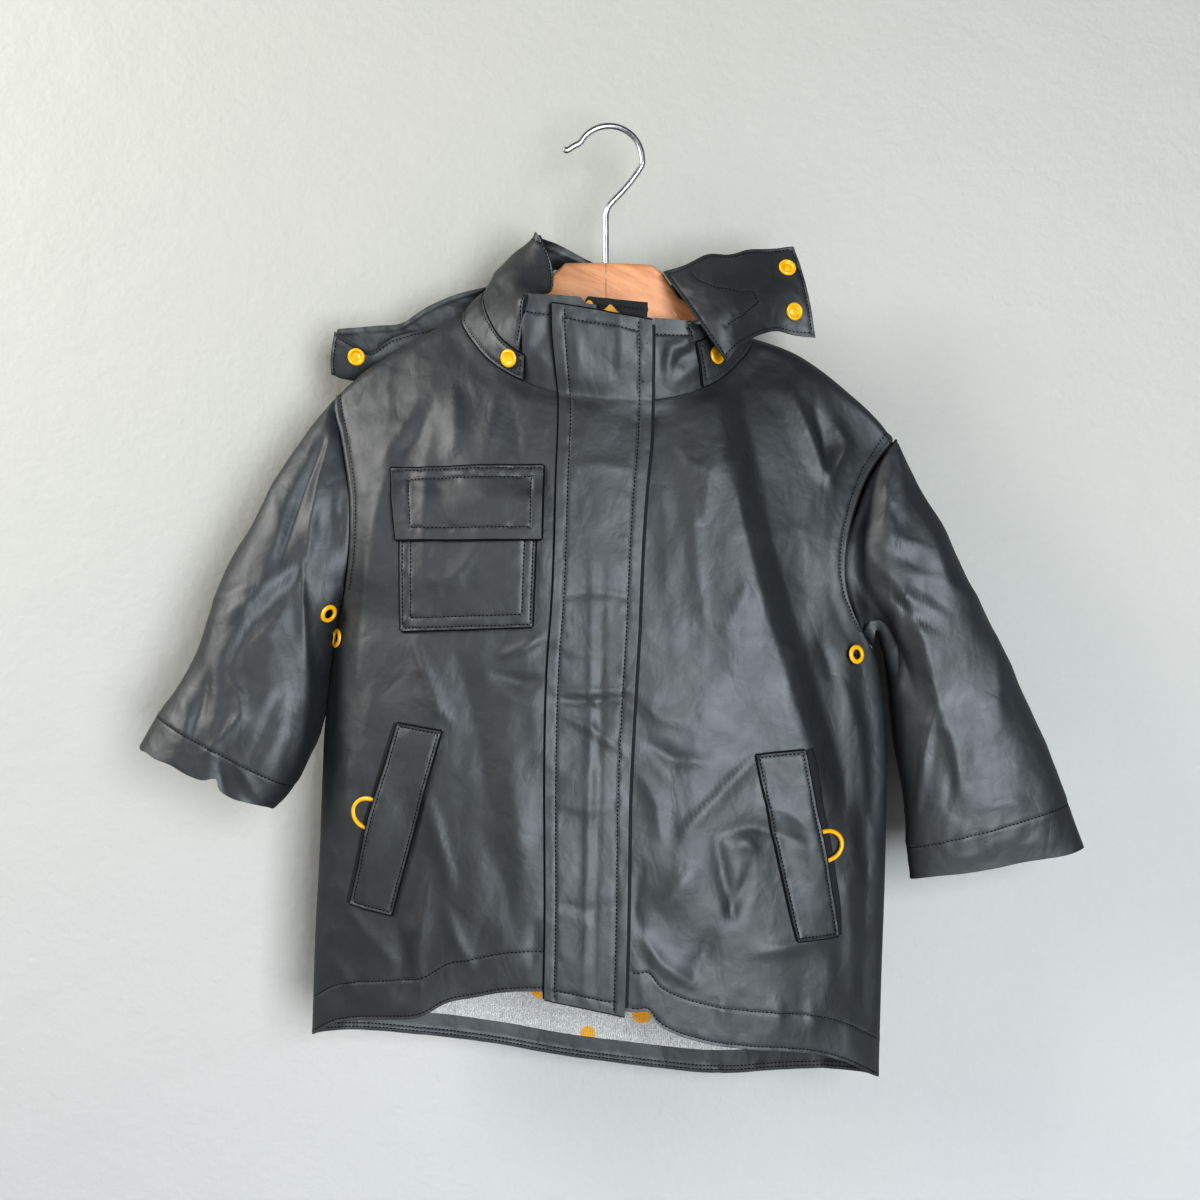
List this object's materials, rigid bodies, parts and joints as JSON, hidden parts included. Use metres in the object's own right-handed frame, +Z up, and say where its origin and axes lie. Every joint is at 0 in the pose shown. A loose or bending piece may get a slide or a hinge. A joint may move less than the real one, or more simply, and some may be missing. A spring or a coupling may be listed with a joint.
{
  "type": "kids raincoat on a hanger",
  "caption": "Child's hooded raincoat in dark coated cloth with a covered front zip, chest pocket, slanted hip pockets and yellow snaps, hung on a wooden hanger with a wire hook.",
  "frame": {"origin": "inside top of the hanger's hook, where the rail or nail touches it, in the middle of the wire", "axes": "+X to the right as the coat is seen from the front, +Y to the coat's back, +Z up"},
  "size_m": [0.6085, 0.1189, 0.6336],
  "materials": {
    "coat_cloth": "polyurethane-coated cloth, soft satin, charcoal",
    "lining": "brushed heather-grey jersey",
    "zip": "yellow woven zip tape",
    "yellow_trim": "yellow gloss lacquer",
    "yellow_ring": "yellow gloss lacquer on 3 mm wire",
    "wood": "clear satin varnish on light beech",
    "wire": "polished"
  },
  "bodies": {
    "root": {"back": "coat_cloth", "chest_flap": "coat_cloth", "chest_pocket": "coat_cloth", "chin_tab_left": "coat_cloth", "chin_tab_right": "coat_cloth", "collar": "coat_cloth", "eyelet_body_left": "yellow_trim", "eyelet_body_right": "yellow_trim", "eyelet_sleeve_left": "yellow_trim", "eyelet_sleeve_right": "yellow_trim", "front_left": "coat_cloth", "front_right": "coat_cloth", "hanger_arm_left": "wood", "hanger_arm_right": "wood", "hood_back": "coat_cloth", "hood_band_left": "coat_cloth", "hood_band_right": "coat_cloth", "hood_side_left": "coat_cloth", "hood_side_right": "coat_cloth", "hook": "wire", "lining_back": "lining", "ring_left": "yellow_ring", "ring_right": "yellow_ring", "sleeve_left": "coat_cloth", "sleeve_right": "coat_cloth", "snap_band_left": "yellow_trim", "snap_band_right": "yellow_trim", "snap_tab_left_lower": "yellow_trim", "snap_tab_left_upper": "yellow_trim", "snap_tab_right": "yellow_trim", "storm_flap": "coat_cloth", "welt_left": "coat_cloth", "welt_right": "coat_cloth", "zip_guard": "coat_cloth", "zip_tape": "zip"}
  },
  "joints": []
}
